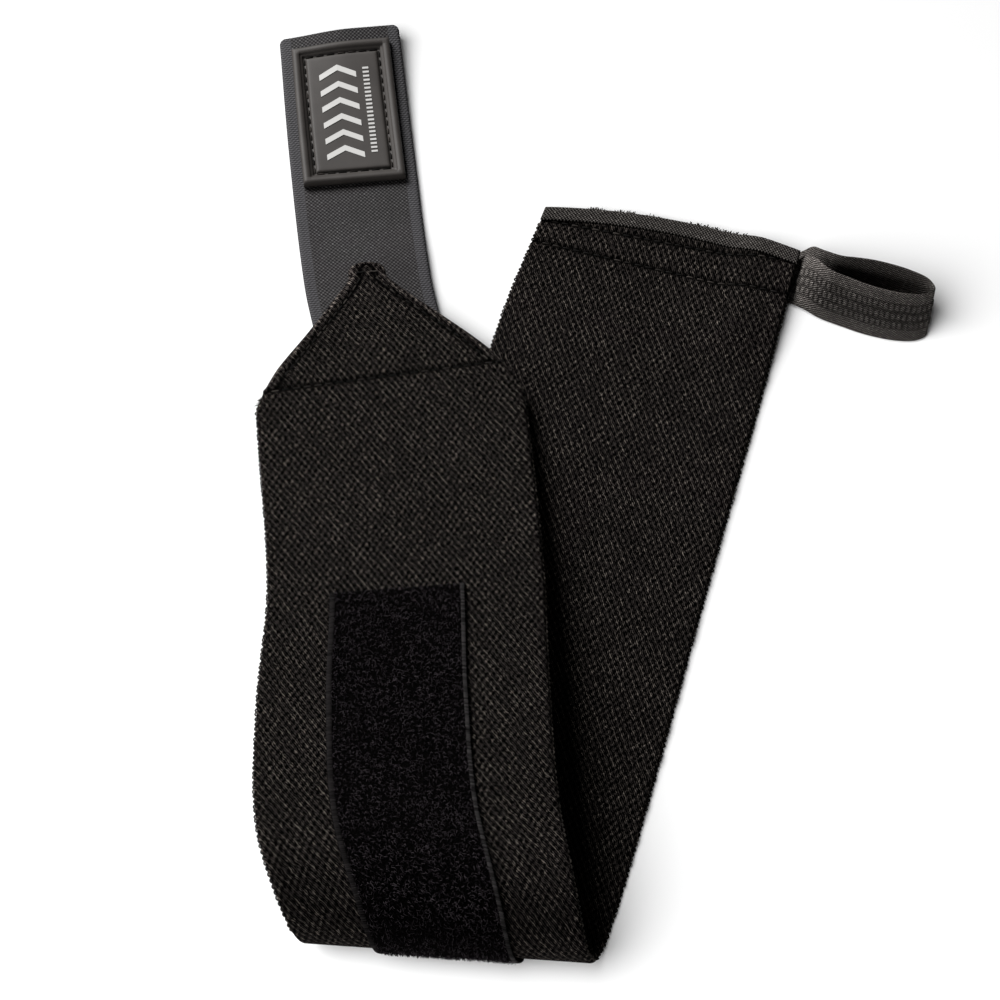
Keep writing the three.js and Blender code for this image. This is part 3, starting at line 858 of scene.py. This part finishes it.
def loop_course():
    """The lower edge of the loop's tape, its direction and its lean, at even places along it."""
    reach, place, raised = (np.array(LOOP_EDGE[key], float) for key in ("reach", "along", "raised"))
    columns = reach * LOOP_REACH, place * LOOP_SEAT, raised * (LOOP_THICKNESS + GAP)
    points = np.stack(columns, axis=1)
    front, rear = points[0].copy(), points[-1].copy()
    front[0] = rear[0] = -LOOP_TAIL
    path = smooth_path([front, *points, rear], LOOP_STEPS)
    lean = [0, *LOOP_EDGE["lean"], 0]
    lean = np.interp(np.arange(len(path)) / LOOP_STEPS, np.arange(len(lean)), lean)
    length = np.concatenate([[0], np.cumsum(np.linalg.norm(np.diff(path, axis=0), axis=1))])
    at = np.linspace(0, length[-1], LOOP_ROWS)
    even = np.stack([np.interp(at, length, column) for column in (*path.T, lean)], axis=1)
    ahead = np.gradient(even[:, :3], axis=0)
    lean = np.pad(even[:, 3], LEAN_BLUR // 2, mode="edge")
    lean = np.convolve(lean, np.ones(LEAN_BLUR) / LEAN_BLUR, "valid")
    return at, even[:, :3], ahead / np.linalg.norm(ahead, axis=1)[:, None], np.radians(lean)


LOOP_AT, LOOP_PATH, LOOP_AHEAD, LOOP_LEAN = loop_course()
LOOP_CUT = LOOP_AT[-1]
print("tape of the loop:", round(LOOP_CUT, 1), "mm")

# %% Thumb loop
LOOP_ROUND = 0.4
BAR = {"pitch": 1.6, "row": 2.9, "height": 0.25}
BAR_ROWS = 3
OUTER_SIDE = -1
# Painted light and shade on the loop's faces: shade between the bars, light over the outer face
# (bars), more light on its upper edge (edge), and light on the inner face (inside)
LOOP_SHADE = {"between": 1.2, "bars": -1.0, "edge": -0.3, "inside": -0.35}


def bars(s, v):
    """Height of the raised bars on the tape's outer face."""
    row = np.clip(np.rint(v / BAR["row"]), -(BAR_ROWS // 2), BAR_ROWS // 2)
    along_row = np.cos(2 * math.pi * (s / BAR["pitch"] + row / 2))
    in_row = np.cos(math.pi * np.clip((v - row * BAR["row"]) / BAR["row"], -0.5, 0.5))
    return BAR["height"] * ease(along_row, -0.75, 0.1) * ease(in_row, 0.25, 0.75)


def loop_shading(s, v, side):
    """Painted light and shade: the outer face is painted paler, except between the bars, where a
    little shade is painted, and palest on its upper edge, a painted highlight; the inside is
    painted a little paler.
    """
    reach = BAR_ROWS / 2 * BAR["row"]
    between = ease(np.abs(v), reach + 0.2, reach - 0.2) * (1 - bars(s, v) / BAR["height"])
    at_edge = ease(v, LOOP_WIDTH / 2 - 1.2, LOOP_WIDTH / 2 - 0.8)
    outside = LOOP_SHADE["between"] * between + LOOP_SHADE["bars"] + LOOP_SHADE["edge"] * at_edge
    return np.where(side == OUTER_SIDE, outside, LOOP_SHADE["inside"])


def carry_loop(s, c, side):
    here = np.rint(s / LOOP_CUT * (LOOP_ROWS - 1)).astype(int)
    at, ahead, lean = LOOP_PATH[here], LOOP_AHEAD[here], LOOP_LEAN[here]
    across = np.stack([0 * lean, -np.cos(lean), np.sin(lean)], axis=1)
    normal = np.cross(ahead, across)
    normal /= np.linalg.norm(normal, axis=1)[:, None]
    v = (c - 0.5) * LOOP_WIDTH
    edge = LOOP_WIDTH / 2 - np.abs(v)
    half = (LOOP_THICKNESS / 2 - BAR["height"]) * rounded(edge, LOOP_ROUND, 0.3)
    half = half + np.where(side == OUTER_SIDE, bars(s, v), 0)
    point = at + across * (c * LOOP_WIDTH)[:, None] + normal * (side * half)[:, None]
    place = lie(point[:, 1], HALF_BAND + point[:, 0], 0)
    place[:, 2] = point[:, 2] + LOOP_THICKNESS / 2
    return v, place


# Covered elastic tape: fine dark threads; its slight gleam on the bars' tops is painted, as light
# on the outer face with a little shade painted between the bars
LOOP_CLOTH = woven("narrow_elastic", 0.7, 0.9, TAPE, 0.12, wander=0.1, ply=0, breaks=1.6)
mesh = closed_sheet("thumb_tape", LOOP_AT, spaced(0, (1, 1 / 64)), carry_loop)
# The painted light and shade of loop_shading go onto the tape's faces
stamp(mesh, loop_shading)
LOOP = piece("thumb_tape", mesh, LOOP_CLOTH, "thumb_loop")

# %% [markdown]
# The pile patch is the soft half of a hook fastener, sewn lengthwise on the band's outer face.
# Its ground is a thin black tape with a smooth selvedge on each side. Between them stand
# thousands of small bent loops, which is what the hooks catch in.

# %% Pile patch
PILE_GROUND = 0.7
PILE_MARGIN = {"left": 1.4, "right": 1.1}
# The ground's colour, a faint glint painted on its floats, and shade painted in its holes
PILE = {"yarn": "#050404", "painted_glint": "#110f10", "painted_hole_shade": "#010101"}


def patch_askew(s):
    return PATCH_OFFSET + PATCH_ASKEW * (0.5 - (s - PATCH_TOP + PATCH_LENGTH) / PATCH_LENGTH)


def on_patch(s, v, h):
    """A place on the patch, h over the band's face."""
    skewed = s - v * math.tan(SKEW) * ease(s, PATCH_TOP - 5, FOLD_END)
    return on_band(skewed, v + patch_askew(s), HALF_THICK + GAP + h)


def carry_patch(s, c, side):
    v = c * PATCH_WIDTH / 2
    ends = np.minimum(PATCH_TOP - s, s - PATCH_TOP + PATCH_LENGTH)
    edge = np.minimum(ends, PATCH_WIDTH / 2 - np.abs(v))
    h = PILE_GROUND * (0.5 + 0.5 * side * rounded(edge, 0.4, 0.3))
    return v, on_patch(s, v, h)


# Nylon ground tape: black and matt, so that the pile looks deep between its loops
PILE_CLOTH = woven("nylon_ground", 0.9, 0.9, PILE, 0.12, wander=0.2, ply=0, breaks=1.6)
s_lines = spaced(PATCH_TOP - PATCH_LENGTH, (PATCH_TOP, 0.8))
mesh = closed_sheet("pile_strip", s_lines, spaced(-1, (1, 1 / 24)), carry_patch)
PILE_TAPE = piece("pile_strip", mesh, PILE_CLOTH, "loop_patch")

# %% Selvedges of the patch
CORD_STEP, CORD_RADIUS = 0.55, 0.3


def selvedge_cords(side, width):
    """Short cross threads, side by side, that bind one long edge of the patch."""
    s = np.arange(PATCH_TOP - PATCH_LENGTH + 0.6, PATCH_TOP - 0.6, CORD_STEP)[:, None]
    t = np.linspace(0, 1, 5)
    v = side * (PATCH_WIDTH / 2 - 0.15 - t * width)
    h = PILE_GROUND + 0.14 * np.sin(math.pi * t) - 0.05
    return on_patch(s + 0.25 * t, v + 0 * s, h + 0 * s)


# The same nylon as the ground, lying flat: painted a dull grey, paler than the ground, for the
# light that flat nylon catches beside the pile
DULL_NYLON = thread_material("dull_nylon", "#0c0b0b", "#1f1d1d", 0.8, 0.03)
# On the right the nylon is pulled tight and catches more of the light, which is painted here
# as a paler colour
LIT_NYLON = thread_material("lit_nylon", "#100f0f", "#373535", 0.8, 0.03)
for edge, side, nylon in (("left", -1, DULL_NYLON), ("right", 1, LIT_NYLON)):
    lines = selvedge_cords(side, PILE_MARGIN[edge])
    threads(f"pile_{edge}_selvedge", lines, CORD_RADIUS, 5, nylon, "loop_patch")

# %% Pile loops
PILE_COUNT = 13500
PILE_RADIUS = 0.06


def pile_arcs():
    low = PATCH_WIDTH / 2 - PILE_MARGIN["left"]
    high = PATCH_WIDTH / 2 - PILE_MARGIN["right"]
    s = chance.uniform(PATCH_TOP - PATCH_LENGTH + 0.3, PATCH_TOP - 0.3, PILE_COUNT)[:, None]
    v = chance.uniform(-low, high, PILE_COUNT)[:, None]
    turn = chance.uniform(0, 2 * math.pi, PILE_COUNT)[:, None]
    length = chance.uniform(0.5, 1.1, PILE_COUNT)[:, None]
    t = np.linspace(-0.5, 0.5, 3)
    bow = chance.uniform(-0.5, 0.5, PILE_COUNT)[:, None] * (0.25 - t * t) * 2
    height = PILE_GROUND + chance.uniform(0.2, 0.85, PILE_COUNT)[:, None] * (1 - 4 * t * t) + 0.02
    ds = length * t * np.cos(turn) - bow * np.sin(turn)
    dv = length * t * np.sin(turn) + bow * np.cos(turn)
    return on_patch(s + ds, np.clip(v + dv, -low, high), height)


# Brushed nylon: near black and matt; a few loops are painted paler to stand for glints, which gives
# it a faint sparkle
PILE_FIBRE = thread_material("brushed_nylon", "#030203", "#4b4549", 0.8, 0.02, rarity=2.6)
threads("pile_loops", pile_arcs(), PILE_RADIUS, 3, PILE_FIBRE, "loop_patch")

# %% [markdown]
# The strap is hook tape, sewn under the point with its hooks down. It lies on the table and
# rises to its free end, where one corner curls down. Its back is a fine nylon weave: small
# floats in slanting rows, painted pale where they glint, with shade painted in the holes
# between them, and a selvedge of fine cross ribs on each side.

# %% Hook strap
HOOK_HEIGHT = 0.9
STRAP_GROUND = STRAP_THICKNESS - HOOK_HEIGHT
STRAP_ROUND = 2.5  # radius of its cut corners
STRAP_SELVEDGE = 3.5
RIB_STEP = 0.8


def strap_underside(s, v):
    tucked = REST_HEIGHT - FLAP_UNDERSIDE - GAP - STRAP_THICKNESS
    under = tucked * ease(s, BAND_LENGTH + STRAP_REST["down"] * TIP_LENGTH, TIP_END)
    free = np.clip((s - STRAP_END) / (STRAP_REST["free"] * STRAP_LENGTH) + 1, 0, 1)
    toward_corner = ease(v / STRAP_WIDTH, STRAP_REST["flat"], STRAP_REST["corner"])
    return under + STRAP_END_LIFT * free * free * (1 - STRAP_REST["curl"] * toward_corner)


def on_strap(s, v, h):
    """A place on the strap, h over its upper face."""
    return lie(s, v, strap_underside(s, v) + STRAP_THICKNESS + h)


def carry_strap(s, c, side):
    half = STRAP_WIDTH / 2
    past = np.clip(s - STRAP_END + STRAP_ROUND, 0, STRAP_ROUND)
    v = c * (half - STRAP_ROUND + np.sqrt(STRAP_ROUND**2 - past**2 + 1e-6))
    edge = np.minimum(np.minimum(STRAP_END - s, s - STRAP_START), half - np.abs(v))
    h = STRAP_GROUND / 2 * (side * rounded(edge, 0.35, 0.3) - 1)
    return v, on_strap(s, v, h)


def strap_cloth():
    """Nylon tape: harder, smoother and greyer than the polyester of the band."""
    # The yarn's colour, glints painted on the floats, and shade painted in the holes
    colours = {"yarn": "#2d2b2b", "painted_glint": "#706f70", "painted_hole_shade": "#050506"}
    weave = {"wander": 0.1, "ply": 0, "breaks": 1.2}
    material = woven("nylon_tape", 1.25, 1.3, colours, 0.1, (0.7, 0.1), **weave)
    tree = material.node_tree
    shader = tree.nodes["Principled BSDF"]
    woven_colour = shader.inputs["Base Color"].links[0].from_socket
    s, v, *_ = flat_place(tree)
    ribs = add(tree, "MapRange", wave(tree, s, 1 / RIB_STEP), -0.9, 0.4, **SMOOTH)
    ribbed = add(tree, "Mix", ribs, named={6: linear("#19191a"), 7: linear("#3b3a3c")}, **MIX)
    from_middle = add(tree, "Math", v, operation="ABSOLUTE")
    edge = STRAP_WIDTH / 2 - STRAP_SELVEDGE
    in_selvedge = add(tree, "MapRange", from_middle, edge - 0.15, edge + 0.15, **SMOOTH)
    colour = add(tree, "Mix", in_selvedge, named={6: woven_colour, 7: ribbed}, **MIX)
    tree.links.new(colour, shader.inputs["Base Color"])
    return material


toward_end = [(STRAP_END - STRAP_ROUND, 0.7), (STRAP_END - 0.4, 0.3), (STRAP_END, 0.1)]
s_lines = spaced(STRAP_START, *toward_end)
mesh = closed_sheet("hook_strap", s_lines, spaced(-1, (1, 1 / 24)), carry_strap)
STRAP = piece("hook_strap", mesh, strap_cloth(), "strap")

# %% Hooks under the strap
HOOK_STEP, HOOK_MARGIN, HOOK_RADIUS = 1.5, 3, 0.09
HOOK = {"over": [0, 0, 0.12, 0.42], "down": [0, 0.55, 0.8, 0.62]}


def hooks():
    s = np.arange(STRAP_START + HOOK_MARGIN, STRAP_END - HOOK_MARGIN, HOOK_STEP)
    v = np.arange(HOOK_MARGIN - STRAP_WIDTH / 2, STRAP_WIDTH / 2 - HOOK_MARGIN + 0.1, HOOK_STEP)
    s, v = (x.reshape(-1, 1) for x in np.meshgrid(s, v, indexing="ij"))
    facing = np.where(np.rint(v / HOOK_STEP) % 2 == 0, 1, -1)
    over, down = np.array(HOOK["over"]), np.array(HOOK["down"])
    return on_strap(s + facing * over, v, -STRAP_GROUND - down)


# Stiff nylon bristle, cut open on one side: dark and slightly glossy
BRISTLE = thread_material("nylon_hooks", "#1a1a1c", "#34343a", 0.35, 0.5)
threads("strap_hooks", hooks(), HOOK_RADIUS, 3, BRISTLE, "strap")

# %% [markdown]
# The label is moulded soft rubber, sewn on near the strap's end. A rim, a sewing channel and a
# raised panel are rings at fixed distances from its edge, so its section is one short table,
# and the rings meet in mitres at its corners.

# %% Rubber label
LABEL_SECTION = {
    "from_edge": [0, 0.3, 2.2, 2.5, 3.1, 3.4, 4.1, 4.4, 5.2, 20],
    "height": [1.3, 2.0, 2.0, 1.5, 1.45, 0.85, 0.85, 1.3, 1.5, 1.5],
}
LABEL_START = STRAP_END - LABEL_SETBACK - LABEL_LENGTH
RUBBER_GREY = "#2d2a28"


def moulded_rubber():
    """Soft rubber from a steel mould: matt, with a fine grain and a faint sheen on its edges."""
    material, tree, shader = fresh("moulded_rubber", 0.55, 0.12)
    place = add(tree, "Attribute", attribute_name="flat", out="Vector")
    grain = add(tree, "TexNoise", place, named={"Scale": 4.0, "Detail": 3.0})
    wear = add(tree, "TexNoise", place, named={"Scale": 0.15, "Detail": 3.0})
    tone = add(tree, "MapRange", wear, 0.3, 0.7, 0.88, 1.12)
    grey = linear(RUBBER_GREY)[:3]
    colour = add(tree, "VectorMath", grey, named={"Scale": tone}, operation="SCALE")
    normal = add(tree, "Bump", named={"Strength": 0.5, "Distance": 0.03 * MM, "Height": grain})
    tree.links.new(colour, shader.inputs["Base Color"])
    tree.links.new(normal, shader.inputs["Normal"])
    return material


def carry_label(s, c, side):
    v = c * LABEL_WIDTH / 2
    ends = np.minimum(s - LABEL_START, LABEL_START + LABEL_LENGTH - s)
    top = along(LABEL_SECTION, "height", np.minimum(ends, LABEL_WIDTH / 2 - np.abs(v)), "from_edge")
    return v, on_strap(s, v, GAP + np.where(side > 0, top, 0))


def ringed(size):
    """Lines across the label, close together where its section changes."""
    rings = np.array([0, 0.15, 0.3, 1.2, 2.2, 2.35, 2.5, 3.1, 3.25, 3.4, 4.1, 4.25, 4.4, 4.8, 5.2])
    return np.concatenate([rings, spaced(6, (size - 6, 1)), (size - rings)[::-1]])


half = LABEL_WIDTH / 2
s_lines, c_lines = LABEL_START + ringed(LABEL_LENGTH), ringed(LABEL_WIDTH) / half - 1
mesh = closed_sheet("rubber_label", s_lines, c_lines, carry_label)
piece("rubber_label", mesh, moulded_rubber(), "label")

# %% Stitches round the label
CHANNEL = 3.75  # the sewing channel's distance from the edge
CHANNEL_FLOOR = 0.95
LABEL_THREAD_RADIUS = 0.22
low_s, high_s = LABEL_START + CHANNEL, LABEL_START + LABEL_LENGTH - CHANNEL
side_v = half - CHANNEL


def in_channel(s, v, rise):
    return on_strap(s, v, GAP + CHANNEL_FLOOR + rise)


turns = [(low_s, -side_v), (low_s, side_v), (high_s, side_v), (high_s, -side_v), (low_s, -side_v)]
lines = np.concatenate([stitches(a, b, in_channel) for a, b in zip(turns, turns[1:])])
threads("label_stitches", lines, LABEL_THREAD_RADIUS, 6, SEWING_THREAD, "label")

# %% [markdown]
# A plain printed pattern stands on the label's panel: six chevrons that point to the strap's
# end, and a row of short ticks beside them, in raised white print.

# %% Marks on the label
CHEVRON = {"width": 11.5, "point": 3.2, "stroke": 2.1, "pitch": 6.1}
CHEVRON_COUNT = 6
TICK = {"length": 1.9, "stroke": 0.7, "pitch": 1.5}
TICK_COUNT = 22
CHEVRON_V, TICK_V = -1.8, 7
MARK_FROM, MARK_TO = 1.46, 1.68
PANEL_MIDDLE = LABEL_START + LABEL_LENGTH / 2


def chevron(s, v):
    reach, point, stroke = CHEVRON["width"] / 2, CHEVRON["point"], CHEVRON["stroke"]
    rear = [(0, -reach), (point, 0), (0, reach)]
    outline = rear + [(a + stroke, b) for a, b in rear[::-1]]
    return [(s + a, v + b) for a, b in outline]


def tick(s, v):
    long, thick = TICK["length"] / 2, TICK["stroke"] / 2
    outline = [(-thick, -long), (-thick, long), (thick, long), (thick, -long)]
    return [(s + a, v + b) for a, b in outline]


def raised_print(name, outlines):
    """Flat outlines, each drawn as a face and extruded, then laid on the label's panel."""
    bm = bmesh.new()
    for outline in outlines:
        bm.faces.new([bm.verts.new((s, v, MARK_FROM)) for s, v in outline])
    s, v, h = extruded(bm, MARK_TO - MARK_FROM).T
    return carried(name, bm, on_strap(s, v, GAP + h))


def centred(count, pitch):
    return (np.arange(count) - (count - 1) / 2) * pitch


middle_s = PANEL_MIDDLE - (CHEVRON["point"] + CHEVRON["stroke"]) / 2
outlines = [chevron(middle_s + s, CHEVRON_V) for s in centred(CHEVRON_COUNT, CHEVRON["pitch"])]
outlines += [tick(PANEL_MIDDLE + s, TICK_V) for s in centred(TICK_COUNT, TICK["pitch"])]
# White rubber paint, satin, a little grey from wear
material, tree, shader = fresh("white_print", 0.55, 0.3)
shader.inputs["Base Color"].default_value = linear("#979694")
piece("label_marks", raised_print("label_marks", outlines), material, "label")

# %% [markdown]
# The last line works out the area of the point, in square millimetres.

# %% Cloth pieces and closing lines
TIP_AREA = float(np.sum(half_width(np.arange(BAND_LENGTH, TIP_END, 0.25)))) * 2 * 0.25
